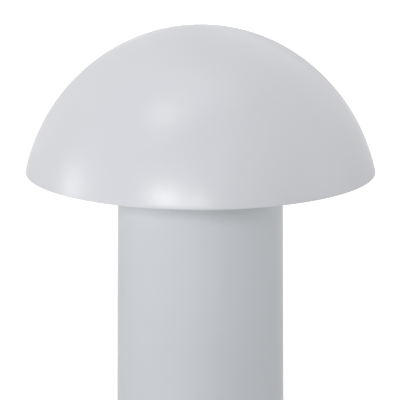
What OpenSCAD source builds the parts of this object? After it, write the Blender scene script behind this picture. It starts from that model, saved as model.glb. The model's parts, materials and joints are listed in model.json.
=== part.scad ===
// Cordless table lamp with a mushroom outline: a domed shade on a thick round stem.
// Millimetres, +Z up, the origin at the centre of the foot on the table.
// The back of the lamp, with its button and charging port, faces +Y.

/* [Overall] */
// Height of the lamp from the table to the top of the shade
lamp_h = 220; // [212:1:250]
// Gap under the stem, bridged by the foot ring
foot_gap = 1.2; // [0.8:0.1:2]

/* [Shade] */
// Outside diameter of the shade at its rim
shade_d = 160; // [156:1:172]
// Height of the shade from its rim to its crown
shade_h = 67; // [65:1:72]
// Radius of the crown about the lamp's axis
crown_r = 79; // [77:0.5:81]
// How far the crown reaches from the axis before the shoulder starts, in degrees
crown_angle = 35; // [30:1:40]
// Wall of the shade
shade_wall = 2.4; // [2:0.1:3]
// Radius on both edges of the rim
lip_r = 0.5; // [0.3:0.1:0.9]
// Wall of the bracket inside the shade
bracket_wall = 2; // [1.6:0.1:2.6]
// Outside radius of the bracket's drum
drum_r = 22; // [21:0.5:23]
// Radius of the bracket's top flange, which is glued to the shade
bracket_flange_r = 29; // [27:1:33]

/* [Diffuser] */
// How far the diffuser's face lies above the rim
recess_h = 7; // [5:0.5:9]
// Thickness of the diffuser
diffuser_t = 2; // [1.6:0.1:2.4]
// Height of the light chamber, from the diffuser to the light board
chamber_h = 12; // [10:0.5:14]
// Gap between the diffuser's collar and the stem
collar_gap = 0.5; // [0.3:0.1:0.9]
// Height of the diffuser's outer flange
flange_h = 4; // [3:0.5:5]
// Thickness of the seal between the diffuser and the shade
edge_seal_t = 1.3; // [1:0.1:1.6]
// Diameter of the diffuser's screw posts
post_d = 6.5; // [6:0.5:7]

/* [Light] */
// Number of light-emitting chips, a multiple of 3
led_count = 18; // [12:3:24]
// Width of a chip, along its ring
led_w = 3.5; // [2.8:0.1:4]
// Thickness of a chip
led_t = 0.8; // [0.6:0.1:1]
// Thickness of the circuit boards
board_t = 1.6; // [1.2:0.1:2]
// Thickness of the aluminium carrier plate
carrier_t = 2; // [1.5:0.1:3]
// Gap between the carrier's edge and the shade
carrier_gap = 2.1; // [1.8:0.1:3]

/* [Stem] */
// Outside diameter of the stem at the table
stem_d = 77; // [75:0.5:79]
// Draft of the stem's wall, in degrees
stem_draft = 0.3; // [0:0.05:0.4]
// Wall of the stem
stem_wall = 2.5; // [2.2:0.1:2.8]
// Thickness of the deck that closes the top of the stem
deck_t = 3; // [3:0.1:4]
// Chamfer round the bottom edge of the stem
foot_chamfer = 0.6; // [0.3:0.1:1]

/* [Base] */
// Thickness of the base cover's plate
cover_t = 3; // [2.8:0.1:4]
// Thickness of the ballast disc
ballast_t = 11; // [9:0.5:14]
// Height of the base cover's skirt, which holds the seal
skirt_h = 4.8; // [4.4:0.1:6]
// Thickness of the skirt
skirt_t = 4; // [3.6:0.1:4.2]
// Diameter of the seal ring's section
seal_d = 1.9; // [1.7:0.1:2.1]
// Width of the foot ring
foot_w = 4; // [3:0.5:4]
// Depth of the foot ring's groove
foot_groove = 1; // [0.6:0.1:1.2]
// Distance from the foot ring's inside to the heads of the base screws
screw_inset = 2; // [1:0.5:3]

/* [Battery] */
// Diameter of a battery cell
cell_d = 18.4; // [18:0.1:18.8]
// Length of a battery cell
cell_h = 65.2; // [64:0.1:70]
// Gap between the two cells
cell_gap = 1; // [0.6:0.1:1.6]
// Wall of the battery holder
holder_wall = 2; // [1.6:0.1:2.4]
// Width of the band round the cells
band_w = 10; // [8:1:14]

/* [Controls] */
// Height of the charging port's centre above the ballast
port_lift = 12; // [11.5:0.5:16]
// Height of the charge light above the port
pilot_pitch = 10.5; // [10:0.5:13]
// Height of the button above the charge light
button_pitch = 10; // [10:0.5:13]
// Diameter of the button
button_d = 12; // [10:0.5:12.5]
// Travel of the button
button_travel = 0.5; // [0.3:0.1:0.8]
// How far the button stands out of the stem
button_proud = 0.3; // [0:0.1:0.8]
// Diameter of the light pipe
pilot_d = 2.4; // [2:0.1:3]
// Width of the port cover
flap_w = 17; // [16:0.5:18]
// Thickness of the port cover in its middle
flap_t = 2.2; // [2:0.1:2.4]

/* [Hidden] */
$fn = 96;

// Clearances
move_gap = 0.3;    // round a piece that moves
run_gap = 0.06;    // round a trunnion in its hole
slip_gap = 0.1;    // between fixed pieces that slide together
thread_gap = 0.05; // round a screw in its pilot hole
over = 1;          // how far a cut runs past the face that it opens

// Colours
shade_paint = [0.87, 0.87, 0.88];
stem_paint = [0.85, 0.86, 0.87];
white_plastic = [0.93, 0.93, 0.92];
opal = [0.97, 0.96, 0.93];
aluminium = [0.78, 0.79, 0.8];
steel = [0.6, 0.61, 0.63];
brass = [0.8, 0.65, 0.35];
rubber = [0.2, 0.2, 0.21];
board_green = [0.1, 0.35, 0.2];
board_white = [0.95, 0.95, 0.95];
black_plastic = [0.1, 0.1, 0.11];
nickel = [0.75, 0.74, 0.7];
wrap_blue = [0.2, 0.35, 0.6];
phosphor = [0.95, 0.85, 0.35];
clear = [0.9, 0.95, 0.95];

// Screws: [shank diameter, head diameter, head height]
m3 = [3, 5.6, 2.2];
m3_flat = [3, 5.6, 1.6];
m25 = [2.5, 4.6, 1.4];
m2 = [2, 3.8, 1.3];

// The shade's profile, in [radius, height above the rim]: a crown arc about the axis,
// then a shoulder arc that leaves it without a kink and runs through the rim
crown_c = [0, shade_h - crown_r];
crown_lap = 1;
crown_dir = [sin(crown_angle), cos(crown_angle)];
crown_join = [sin(crown_angle + crown_lap), cos(crown_angle + crown_lap)];
crown_end = crown_c + crown_r * crown_dir;
to_rim = [shade_d / 2, 0] - crown_end;
shoulder_r = -(to_rim * to_rim) / (2 * (to_rim * crown_dir));
shoulder_c = crown_end - shoulder_r * crown_dir;
far = 3 * shade_d;

// Radius of the shade at height z above its rim, taken in from its outside by inset
function shoulder_at(z, inset) = shoulder_c.x + sqrt(pow(shoulder_r - inset, 2) - pow(z - shoulder_c.y, 2));
// Radius of the stem's outside at height z above the table
function stem_r(z) = stem_d / 2 - z * tan(stem_draft);

// Heights above the table, from the shade down
rim_z = lamp_h - shade_h;
diffuser_z = rim_z + recess_h;
chamber_z = diffuser_z + diffuser_t;
led_board_z = chamber_z + chamber_h;
carrier_z = led_board_z + board_t;
carrier_top = carrier_z + carrier_t;
deck_z = carrier_z - deck_t;

// Heights above the table, from the foot up
cover_z = foot_gap;
ballast_z = cover_z + cover_t;
ballast_top = ballast_z + ballast_t;
port_z = ballast_top + port_lift;
pilot_z = port_z + pilot_pitch;
button_z = pilot_z + button_pitch;

// The shade's bracket and the light carrier
glue_gap = 0.1;
bracket_inset = shade_wall + glue_gap;
shade_screw_ring = drum_r + 2;
boss_d = 7;
boss_h = 14;
drum_window = [14, 10];
carrier_r = shoulder_at(carrier_top + m3[2] - rim_z, shade_wall) - carrier_gap + 1;
post_ring = carrier_r - post_d / 2 - 0.6;
collar_in = stem_r(diffuser_z) + collar_gap;
collar_t = 1.6;
gasket_t = 1;
led_board_in = collar_in + collar_t + 1.4;
led_board_out = post_ring - post_d / 2 - 1;
led_ring = (led_board_in + led_board_out) / 2;
led_l = 2.8;
led_screw_turn = 360 / led_count * (floor(led_count / 9) + 0.5);
led_socket_size = [7, 4, 3];
led_socket_ring = led_board_in + 5;
window_gap = 1;
nut_d = 6;
nut_h = 2.4;
stem_screw_ring = 26;
stem_screw_l = 7.5;
shade_screw_l = 10;
diffuser_screw_l = 8;
led_screw_l = 3.4;
head_gap = 0.7;
grommet_d = 11;
grommet_flange = 1.5;
grommet_lip = 1.5;
carrier_hole_d = grommet_d + 2 * grommet_lip + 4;

// The base
cover_gap = 0.25;
boss_z = ballast_top + slip_gap;
base_boss_h = 13;
base_screw_l = 20;
base_turn = 45;
shade_turn = 30;
stem_turn = 90;
gusset_t = 2;
seal_z = ballast_z + skirt_h / 2;
groove_side = 0.2;
squeeze_gap = 0.05;
foot_inset = 1.4;
foot_out = stem_r(0) - stem_wall - cover_gap - foot_inset;
foot_in = foot_out - foot_w;
base_screw_ring = foot_in - screw_inset - m3_flat[1] / 2;
ballast_gap = 0.3;
ballast_hole_d = 12;
cover_r = stem_r(cover_z + cover_t + skirt_h) - stem_wall - cover_gap;
ballast_r = cover_r - skirt_t - ballast_gap;

// The thick flat inside the stem's back wall, and what passes through it
pad_depth = 5.4;
pad_y = stem_r(port_z) - pad_depth;
floor_y = stem_r(port_z) - flap_t - move_gap;
port_lip = 0.5;
mouth_y = floor_y - port_lip;
port_size = [8.94, 3.16];
port_hole = [8.6, 2.9];
usb_depth = 9.8;
board_y = mouth_y - usb_depth;
board_w = 28;
board_z = port_z - 8;
board_top = button_z + 9;
board_corner = 2;
board_hole_x = board_w / 2 - 2.6;
board_hole_z = [board_z + 3, board_top - 3];
board_post_d = 5;
board_screw_l = 6;

// The port cover and its hinge
hinge_drop = 7.2;
hinge_z = port_z - hinge_drop;
barrel_r = 1.6;
hinge_y = stem_r(hinge_z) - barrel_r - 0.1;
barrel_w = 10;
ear_r = 2.1;
trunnion_r = 0.8;
trunnion_l = 1.8;
flap_rise = 5;
flap_top = port_z + flap_rise;
flap_corner = 2;
plug_size = [7.8, 2];
plug_t = 0.7;
notch_r = 3.6;
notch_out = 2.2;
recess_bottom = hinge_z - (stem_r(hinge_z) - hinge_y) - move_gap;
pad_z = recess_bottom - 1.7;
pad_top = board_top + 1;

// The button and its switch
button_gap = 0.25;
button_flange = 1.4;
button_flange_t = 1.4;
button_seal_t = 0.4;
button_dish_r = 34;
button_dish = 0.35;
flange_y = pad_y - button_seal_t;
switch_size = 6;
switch_h = 3.5;
plunger_r = 1.7;
plunger_l = 2.6;
plunger_out = flange_y - button_flange_t - board_y - switch_h - 0.6;
button_post_r = 2.2;
pipe_flange = 0.8;
pipe_flange_t = 1.2;
charge_led_size = [2, 1.25, 0.8];
pipe_gap = 0.2;

// The battery pack
cell_x = (cell_d + cell_gap) / 2;
cell_y = -3;
holder_base_t = 3;
tab_t = 0.3;
cell_z = ballast_top + holder_base_t + tab_t;
cell_top = cell_z + cell_h;
holder_rim = 0.5;
holder_w = 2 * cell_d + cell_gap + 2 * holder_rim;
spine_y = cell_y + cell_d / 2 + slip_gap;
holder_ear = 8;
holder_screw_x = holder_w / 2 + holder_ear / 2;
holder_screw_l = 6;
clip_t = 1.4;
clip_h = 9;
clip_heights = [14, cell_h - 14];
clip_reach = 2;
band_t = 0.6;
terminal_w = 7;
terminal_l = 9;

// Sockets and leads
socket_size = [8, 4.4, 5];
plug_block = [7, 3.6, 4.5];
socket_x = 4.9;
socket_z = board_top - 8;
lead_z = socket_z + socket_size.z + plug_block.z;
lead_y = board_y - board_t - socket_size.y / 2;
wire_d = 1.6;
wire_pitch = 2.5;
wire_rise = 9;
wire_bend = 5;
cable_d = 3.2;
sleeve_gap = 0.25;
cable_bend = 3.2;
clip_turn = 66;
clip_wall = 1.6;
clip_len = 5;
clip_stand = 1;
clip_far = 36;
clip_ring = stem_r(deck_z) - stem_wall - clip_stand - clip_wall - sleeve_gap - cable_d / 2;
clip_z = [lead_z + clip_far, deck_z - clip_far];
cable_up = 5;
cable_rise = 14;
cable_dive = 10;
tube_sides = 8;
bend_steps = 6;

// Moves its children up by z
module raise(z) {
    translate([0, 0, z]) children();
}

// Copies its children n times round the axis, at radius r, from the angle start
module ring_of(n, r, start = 0) {
    for (i = [0 : n - 1])
        rotate([0, 0, start + i * 360 / n]) translate([r, 0, 0]) children();
}

// Turns a shape drawn in [x, z] so that it runs from y = 0 by depth towards +Y
module facing_back(depth) {
    translate([0, depth, 0]) rotate([90, 0, 0]) linear_extrude(depth) children();
}

// A round bar along +Y, from y = 0
module bar_y(r, l) {
    rotate([-90, 0, 0]) cylinder(r = r, h = l);
}

// A rectangle with round corners, from its centre
module round_rect(size, r) {
    square([size.x - 2 * r, size.y], center = true);
    square([size.x, size.y - 2 * r], center = true);
    for (x = [-1, 1], y = [-1, 1])
        translate([x * (size.x / 2 - r), y * (size.y / 2 - r)]) circle(r);
}

// A rectangle whose short sides are half circles
module slot_shape(size) {
    square([size.x - size.y, size.y], center = true);
    for (x = [-1, 1])
        translate([x * (size.x - size.y) / 2, 0]) circle(size.y / 2);
}

// A ring with a flat section
module flat_ring(r_out, r_in, h) {
    difference() {
        cylinder(r = r_out, h = h);
        raise(-over) cylinder(r = r_in, h = h + 2 * over);
    }
}

// The cross in a screw's head, sunk from z = 0
module cross_recess(head_d, depth) {
    for (turn = [0, 90])
        rotate([0, 0, turn]) translate([0, 0, -depth / 2 + over / 2])
            cube([head_d * 0.6, head_d * 0.16, depth + over], center = true);
}

// A pan-head screw along Z: its head from z = 0 up, its shank from z = 0 down
module pan_screw(kind, length) {
    difference() {
        union() {
            raise(-length) cylinder(d = kind[0], h = length + kind[2] / 2);
            cylinder(d = kind[1], h = kind[2] * 0.6);
            raise(kind[2] * 0.6) cylinder(d1 = kind[1], d2 = kind[1] * 0.72, h = kind[2] * 0.4);
        }
        raise(kind[2]) cross_recess(kind[1], kind[2] * 0.6);
    }
}

// A countersunk screw along Z: its face at z = 0, its shank down to z = -length
module flat_screw(kind, length) {
    difference() {
        union() {
            raise(-length) cylinder(d = kind[0], h = length - kind[2] / 2);
            raise(-kind[2]) cylinder(d1 = kind[0], d2 = kind[1], h = kind[2]);
        }
        cross_recess(kind[1], kind[2] * 0.8);
    }
}

// Tubes that follow a route

function unit(v) = v / norm(v);

// Points that round the corner b between a and c with radius r
function corner(a, b, c, r) =
    let (u = unit(a - b), w = unit(c - b), angle = acos(u * w),
         reach = r / tan(angle / 2), middle = b + unit(u + w) * r / sin(angle / 2),
         from = b + reach * u - middle, to = b + reach * w - middle, turn = 180 - angle)
    [for (i = [0 : bend_steps])
        let (s = i / bend_steps)
        middle + (sin((1 - s) * turn) * from + sin(s * turn) * to) / sin(turn)];

// A route of straight runs whose corners are rounded
function rounded_route(p, r) = concat([p[0]],
    [for (i = [1 : len(p) - 2]) each corner(p[i - 1], p[i], p[i + 1], r)], [p[len(p) - 1]]);

// The direction of a route at each of its points
function directions(p) = [for (i = [0 : len(p) - 1])
    unit(p[min(i + 1, len(p) - 1)] - p[max(i - 1, 0)])];

// A side direction at each point, carried along the route without a twist
function sides_along(t, side, i = 0) = i == len(t) ? [] :
    let (s = unit(side - (side * t[i]) * t[i]))
    concat([s], sides_along(t, s, i + 1));

// A round tube along a route of points. first_side isn't along the first run.
module tube(p, d, first_side = [1, 0, 0]) {
    t = directions(p);
    s = sides_along(t, first_side);
    n = tube_sides;
    last = (len(p) - 1) * n;
    polyhedron(
        points = [for (i = [0 : len(p) - 1], k = [0 : n - 1])
            p[i] + d / 2 * (cos(k * 360 / n) * s[i] + sin(k * 360 / n) * cross(t[i], s[i]))],
        faces = concat(
            [[for (k = [0 : n - 1]) k]],
            [for (i = [0 : len(p) - 2], k = [0 : n - 1])
                let (a = i * n + k, b = i * n + (k + 1) % n) each [[a, a + n, b + n], [a, b + n, b]]],
            [[for (k = [n - 1 : -1 : 0]) last + k]]));
}

// The shade and what it holds

// Half of the shade's section above its rim, taken in from the outside by inset.
// The crown runs on a little under the shoulder, so that the two are one piece.
module shade_section(inset) {
    intersection() {
        union() {
            intersection() {
                translate(crown_c) circle(crown_r - inset);
                polygon([crown_c, crown_c + [0, far], crown_c + far * crown_join]);
            }
            intersection() {
                translate(shoulder_c) circle(shoulder_r - inset);
                polygon([crown_c, crown_c + far * crown_dir, [far, -far], [0, -far]]);
            }
        }
        square([shade_d, shade_h + over]);
    }
}

// The space inside the shade's outside, taken in by inset
module shade_solid(inset) {
    raise(rim_z) rotate_extrude() shade_section(inset);
}

// The shade's wall, cut off square to itself where the round of its rim starts
module shade_wall_section(c_out, c_in) {
    out = 8 * shade_wall * unit(c_out - shoulder_c);
    in = 8 * shade_wall * unit(c_in - shoulder_c);
    intersection() {
        difference() {
            shade_section(0);
            shade_section(shade_wall);
        }
        polygon([c_in - in, c_in, c_out, c_out + out, [far, far], [0, far],
            [0, shade_h / 2]]);
    }
}

module shade() {
    c_out = [shoulder_at(lip_r, lip_r), lip_r];
    c_in = [shoulder_at(lip_r, shade_wall - lip_r), lip_r];
    color(shade_paint) raise(rim_z) rotate_extrude() {
        shade_wall_section(c_out, c_in);
        translate(c_out) circle(lip_r);
        translate(c_in) circle(lip_r);
        polygon([c_in, [c_in.x, 0], [c_out.x, 0], c_out]);
    }
}

module shade_bracket() {
    color(white_plastic) difference() {
        union() {
            raise(rim_z) rotate_extrude() intersection() {
                difference() {
                    shade_section(bracket_inset);
                    shade_section(bracket_inset + bracket_wall);
                }
                square([bracket_flange_r, shade_h]);
            }
            intersection() {
                shade_solid(bracket_inset + bracket_wall / 2);
                raise(carrier_top) bracket_drum();
            }
        }
        raise(carrier_top - over) ring_of(3, shade_screw_ring, shade_turn)
            cylinder(d = m3[0] + 2 * thread_gap, h = boss_h);
    }
}

module bracket_drum() {
    difference() {
        flat_ring(drum_r, drum_r - bracket_wall, shade_h);
        ring_of(3, drum_r, stem_turn)
            cube([4 * bracket_wall, drum_window.x, 2 * drum_window.y], center = true);
    }
    ring_of(3, shade_screw_ring, shade_turn) cylinder(d = boss_d, h = boss_h);
    ring_of(3, shade_screw_ring, shade_turn) translate([0, -bracket_wall / 2, 0])
        cube([bracket_wall, bracket_wall, shade_h]);
}

module shade_screws() {
    color(steel) raise(carrier_z) ring_of(3, shade_screw_ring, shade_turn)
        rotate([180, 0, 0]) pan_screw(m3, shade_screw_l);
}

module led_carrier() {
    color(aluminium) raise(carrier_z) difference() {
        cylinder(r = carrier_r, h = carrier_t);
        raise(-over) {
            cylinder(d = carrier_hole_d, h = carrier_t + 2 * over);
            ring_of(3, shade_screw_ring, shade_turn) cylinder(d = m3[0] + 0.4, h = carrier_t + 2 * over);
            ring_of(3, stem_screw_ring, stem_turn) cylinder(d = m3[0] + 0.4, h = carrier_t + 2 * over);
            ring_of(3, post_ring, shade_turn) cylinder(d = m25[0] + 0.4, h = carrier_t + 2 * over);
            ring_of(3, led_ring, led_screw_turn)
                cylinder(d = m2[0] + 2 * thread_gap, h = carrier_t + 2 * over);
            translate([0, led_socket_ring, 0]) linear_extrude(carrier_t + 2 * over)
                round_rect([led_socket_size.x, led_socket_size.y] + 2 * [window_gap, window_gap], 1);
        }
    }
}

module carrier_nuts() {
    color(brass) raise(carrier_top) ring_of(3, stem_screw_ring, stem_turn) difference() {
        cylinder(d = nut_d, h = nut_h, $fn = 6);
        raise(-over) cylinder(d = m3[0] + 2 * thread_gap, h = nut_h + 2 * over);
    }
}

module led_board() {
    color(board_white) raise(led_board_z) difference() {
        flat_ring(led_board_out, led_board_in, board_t);
        raise(-over) ring_of(3, led_ring, led_screw_turn)
            cylinder(d = m2[0] + 0.4, h = board_t + 2 * over);
    }
}

module led_chips() {
    color(phosphor) ring_of(led_count, led_ring)
        translate([-led_l / 2, -led_w / 2, led_board_z - led_t]) cube([led_l, led_w, led_t]);
}

module led_board_screws() {
    color(steel) raise(led_board_z) ring_of(3, led_ring, led_screw_turn)
        rotate([180, 0, 0]) pan_screw(m2, led_screw_l);
}

module led_socket() {
    color(board_white) translate([0, led_socket_ring, carrier_z + led_socket_size.z / 2])
        cube(led_socket_size, center = true);
}

module diffuser() {
    outer = shade_wall + move_gap;
    inner = outer + edge_seal_t;
    color(opal) union() {
        raise(rim_z) rotate_extrude() {
            intersection() {
                shade_section(outer);
                translate([collar_in, recess_h]) square([shade_d, diffuser_t]);
            }
            intersection() {
                difference() {
                    shade_section(inner + slip_gap);
                    shade_section(inner + slip_gap + collar_t);
                }
                translate([0, recess_h + diffuser_t / 2]) square([shade_d, diffuser_t / 2 + flange_h]);
            }
            translate([collar_in, recess_h])
                square([collar_t, diffuser_t + chamber_h + board_t - gasket_t]);
        }
        ring_of(3, post_ring, shade_turn) diffuser_post();
    }
}

module diffuser_post() {
    base = diffuser_z + diffuser_t / 2;
    raise(base) difference() {
        cylinder(d = post_d, h = carrier_z - base);
        raise(carrier_z - base - diffuser_screw_l)
            cylinder(d = m25[0] + 2 * thread_gap, h = diffuser_screw_l + over);
    }
}

module diffuser_screws() {
    color(steel) raise(carrier_top) ring_of(3, post_ring, shade_turn) pan_screw(m25, diffuser_screw_l);
}

module diffuser_seal() {
    color(rubber) raise(rim_z) rotate_extrude() intersection() {
        difference() {
            shade_section(shade_wall + squeeze_gap);
            shade_section(shade_wall + move_gap + edge_seal_t);
        }
        translate([0, recess_h + diffuser_t]) square([shade_d, flange_h - 1]);
    }
}

module collar_gasket() {
    color(rubber) raise(carrier_z - gasket_t)
        flat_ring(collar_in + collar_t + 0.4, collar_in, gasket_t);
}

// The stem

// The stem's outside, taken in by inset, from one height to another
module stem_solid(inset, from, to) {
    raise(from) cylinder(r1 = stem_r(from) - inset, r2 = stem_r(to) - inset, h = to - from);
}

module stem_housing() {
    color(stem_paint) difference() {
        union() {
            stem_shell();
            back_pad();
            base_bosses();
            board_posts();
            lead_clips();
        }
        port_recess();
        button_bore();
        pipe_bore();
        usb_pocket();
        board_pilots();
    }
}

module stem_shell() {
    difference() {
        union() {
            raise(cover_z) cylinder(r1 = stem_r(cover_z) - foot_chamfer,
                r2 = stem_r(cover_z + foot_chamfer), h = foot_chamfer);
            stem_solid(0, cover_z + foot_chamfer, carrier_z);
        }
        stem_solid(stem_wall, cover_z - over, deck_z);
        raise(deck_z - over) {
            cylinder(d = grommet_d, h = deck_t + 2 * over);
            ring_of(3, shade_screw_ring, shade_turn)
                cylinder(d = m3[1] + 2 * head_gap, h = deck_t + 2 * over);
            ring_of(3, stem_screw_ring, stem_turn) cylinder(d = m3[0] + 0.4, h = deck_t + 2 * over);
        }
    }
}

module back_pad() {
    intersection() {
        stem_solid(stem_wall / 2, pad_z, pad_top);
        translate([-stem_d / 2, pad_y, 0]) cube([stem_d, stem_d, lamp_h]);
    }
}

module base_bosses() {
    intersection() {
        stem_solid(stem_wall / 2, boss_z, boss_z + base_boss_h);
        raise(boss_z) ring_of(4, base_screw_ring, base_turn) difference() {
            union() {
                cylinder(d = boss_d, h = base_boss_h);
                translate([0, -gusset_t / 2, 0]) cube([stem_d, gusset_t, base_boss_h]);
            }
            raise(-over) cylinder(d = m3[0] + 2 * thread_gap, h = base_boss_h + 2 * over);
        }
    }
}

// Places its children at the control board's four screws
module at_board_screws() {
    for (x = [-1, 1], z = board_hole_z)
        translate([x * board_hole_x, 0, z]) children();
}

module board_posts() {
    at_board_screws() translate([0, board_y, 0]) bar_y(board_post_d / 2, pad_y - board_y + 0.5);
}

module board_pilots() {
    at_board_screws() translate([0, board_y - over, 0])
        bar_y(m2[0] / 2 + thread_gap, board_screw_l + over);
}

// Two rings on the inside of the wall that hold the light's cable
module lead_clips() {
    bore = cable_d + 2 * sleeve_gap;
    for (z = clip_z) raise(z) rotate([0, 0, clip_turn]) difference() {
        union() {
            translate([clip_ring, 0, 0]) cylinder(d = bore + 2 * clip_wall, h = clip_len);
            translate([clip_ring, -clip_wall, 0])
                cube([stem_r(z) - stem_wall / 2 - clip_ring, 2 * clip_wall, clip_len]);
        }
        translate([clip_ring, 0, -over]) cylinder(d = bore, h = clip_len + 2 * over);
        translate([0, -cable_d / 3, -over])
            cube([clip_ring, cable_d / 1.5, clip_len + 2 * over]);
    }
}

// A bar along the hinge's axis, as long as l and centred
module hinge_bar(r, l) {
    translate([-l / 2, hinge_y, hinge_z]) rotate([0, 90, 0]) cylinder(r = r, h = l);
}

// The two ears beside the barrel: r is their radius and gap their distance from the barrel
module hinge_ears(r, gap) {
    for (x = [-1, 1]) intersection() {
        hinge_bar(r, 2 * flap_w);
        translate([x * (barrel_w / 2 + gap + flap_w), hinge_y, hinge_z])
            cube([2 * flap_w, 4 * ear_r, 4 * ear_r], center = true);
    }
}

// The port cover's outline, made larger all round by gap
module flap_shape(gap) {
    w = flap_w + 2 * gap;
    h = flap_top + gap - hinge_z;
    translate([0, hinge_z + h / 2]) round_rect([w, h], flap_corner);
    translate([-w / 2, hinge_z]) square([w, h / 2]);
}

// The hollow in the stem's back that the port cover lies in
module port_recess() {
    difference() {
        translate([0, floor_y, 0]) facing_back(pad_depth + over) flap_shape(move_gap);
        hinge_ears(ear_r, move_gap);
    }
    translate([-barrel_w / 2 - move_gap, hinge_y - barrel_r - move_gap, recess_bottom])
        cube([barrel_w + 2 * move_gap, stem_d, hinge_z - recess_bottom + barrel_r + move_gap]);
    hinge_bar(trunnion_r + run_gap, barrel_w + 2 * trunnion_l + 2 * slip_gap);
    translate([0, mouth_y - over, port_z]) facing_back(2 * over + port_lip) slot_shape(port_hole);
    translate([0, stem_r(flap_top) + notch_out, flap_top + move_gap]) sphere(notch_r);
}

module button_bore() {
    translate([0, pad_y - over, button_z]) bar_y(button_d / 2 + button_gap, stem_d / 2);
}

module pipe_bore() {
    translate([0, pad_y - over, pilot_z]) bar_y(pilot_d / 2 + slip_gap, stem_d / 2);
}

module usb_pocket() {
    translate([0, pad_y - over, port_z]) facing_back(mouth_y - pad_y + over)
        round_rect(port_size + 2 * [slip_gap, slip_gap], 1.4);
}

module stem_screws() {
    color(steel) raise(deck_z) ring_of(3, stem_screw_ring, stem_turn)
        rotate([180, 0, 0]) pan_screw(m3, stem_screw_l);
}

module cable_grommet() {
    color(rubber) difference() {
        union() {
            raise(deck_z - grommet_flange - slip_gap)
                cylinder(d = grommet_d + 2 * grommet_lip, h = grommet_flange);
            raise(deck_z - grommet_flange - slip_gap)
                cylinder(d = grommet_d - 2 * slip_gap, h = deck_t + 2 * grommet_flange);
            raise(carrier_z + slip_gap)
                cylinder(d = grommet_d + 2 * grommet_lip, h = grommet_flange);
        }
        raise(deck_z - grommet_flange - over)
            cylinder(d = cable_d + 2 * sleeve_gap, h = deck_t + 3 * grommet_flange + 2 * over);
    }
}

module led_lead() {
    side = [cos(clip_turn), sin(clip_turn), 0] * clip_ring;
    up = carrier_top + cable_up;
    route = [
        [socket_x, lead_y, lead_z],
        [socket_x, lead_y, lead_z + cable_rise],
        side + [0, 0, clip_z[0] - clip_len],
        side + [0, 0, clip_z[1] + 2 * clip_len],
        [0, 0, deck_z - cable_dive],
        [0, 0, up],
        [0, led_socket_ring, up],
        [0, led_socket_ring, carrier_z + led_socket_size.z]];
    color(rubber) tube(rounded_route(route, cable_bend), cable_d);
}

// The control board and what is on it

module control_board() {
    color(board_green) difference() {
        translate([0, board_y - board_t, (board_z + board_top) / 2]) facing_back(board_t)
            round_rect([board_w, board_top - board_z], board_corner);
        at_board_screws() translate([0, board_y - board_t - over, 0])
            bar_y(m2[0] / 2 + 0.2, board_t + 2 * over);
    }
}

// A block on the board's inner face: its centre in [x, z], and its size
module inner_block(x, z, size) {
    translate([x - size.x / 2, board_y - board_t - size.y, z - size.z / 2]) cube(size);
}

module control_chips() {
    color(black_plastic) {
        inner_block(-6, board_z + 10, [5, 1, 5]);
        inner_block(6.5, board_z + 9, [4, 1, 6]);
        inner_block(7, pilot_z, [3.2, 1.8, 2.6]);
    }
}

module power_inductor() {
    color(black_plastic) inner_block(-4.5, pilot_z - 0.5, [9, 4.2, 9]);
}

module lead_sockets() {
    color(board_white) for (x = [-1, 1])
        inner_block(x * socket_x, socket_z + socket_size.z / 2, socket_size);
}

module lead_plugs() {
    color(white_plastic) for (x = [-1, 1])
        translate([x * socket_x - plug_block.x / 2, lead_y - plug_block.y / 2,
            socket_z + socket_size.z]) cube(plug_block);
}

module board_screws() {
    color(steel) at_board_screws() translate([0, board_y - board_t, 0])
        rotate([90, 0, 0]) pan_screw(m2, board_screw_l);
}

module usb_socket() {
    color(nickel) translate([0, board_y, port_z]) difference() {
        facing_back(usb_depth) round_rect(port_size, 1.3);
        translate([0, 1, 0]) facing_back(usb_depth)
            round_rect(port_size - [0.6, 0.6], 1.15);
    }
}

module usb_tongue() {
    color(black_plastic) translate([0, board_y + 1, port_z])
        facing_back(usb_depth - 2.2) square([6.7, 0.7], center = true);
}

module switch_body() {
    color(black_plastic) translate([0, board_y, button_z]) difference() {
        facing_back(switch_h) square([switch_size, switch_size], center = true);
        translate([0, switch_h - plunger_l + plunger_out - button_travel - 0.4, 0])
            bar_y(plunger_r + slip_gap, switch_h);
    }
}

module switch_plunger() {
    color(steel) translate([0, board_y + switch_h + plunger_out - plunger_l, button_z])
        bar_y(plunger_r, plunger_l);
}

module button_cap() {
    front = stem_r(button_z) + 2 * button_proud;
    dish_y = stem_r(button_z) + button_proud + button_dish_r - button_dish;
    post = flange_y - button_flange_t - board_y - switch_h - plunger_out;
    color(stem_paint) translate([0, 0, button_z]) difference() {
        union() {
            intersection() {
                translate([0, flange_y - button_flange_t / 2, 0])
                    bar_y(button_d / 2, front - flange_y + button_flange_t / 2);
                raise(-button_z) stem_solid(-button_proud, button_z - button_d, button_z + button_d);
            }
            translate([0, flange_y - button_flange_t, 0])
                bar_y(button_d / 2 + button_flange, button_flange_t);
            translate([0, flange_y - button_flange_t - post, 0])
                bar_y(button_post_r, post + button_flange_t / 2);
        }
        translate([0, dish_y, 0]) sphere(button_dish_r);
    }
}

module button_seal() {
    r = button_d / 2 + button_gap;
    color(rubber) translate([0, flange_y, button_z]) difference() {
        bar_y(button_d / 2 + button_flange, button_seal_t);
        translate([0, -over, 0]) bar_y(r, button_seal_t + 2 * over);
    }
}

module charge_led() {
    color(phosphor) translate([-charge_led_size.x / 2, board_y, pilot_z - charge_led_size.y / 2])
        cube([charge_led_size.x, charge_led_size.z, charge_led_size.y]);
}

module charge_light_pipe() {
    start = board_y + charge_led_size.z + pipe_gap;
    color(clear) intersection() {
        translate([0, 0, pilot_z]) union() {
            translate([0, start, 0]) bar_y(pilot_d / 2, stem_d / 2);
            translate([0, pad_y - pipe_flange_t, 0]) bar_y(pilot_d / 2 + pipe_flange, pipe_flange_t);
        }
        stem_solid(0, pilot_z - pilot_d, pilot_z + pilot_d);
    }
}

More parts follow.
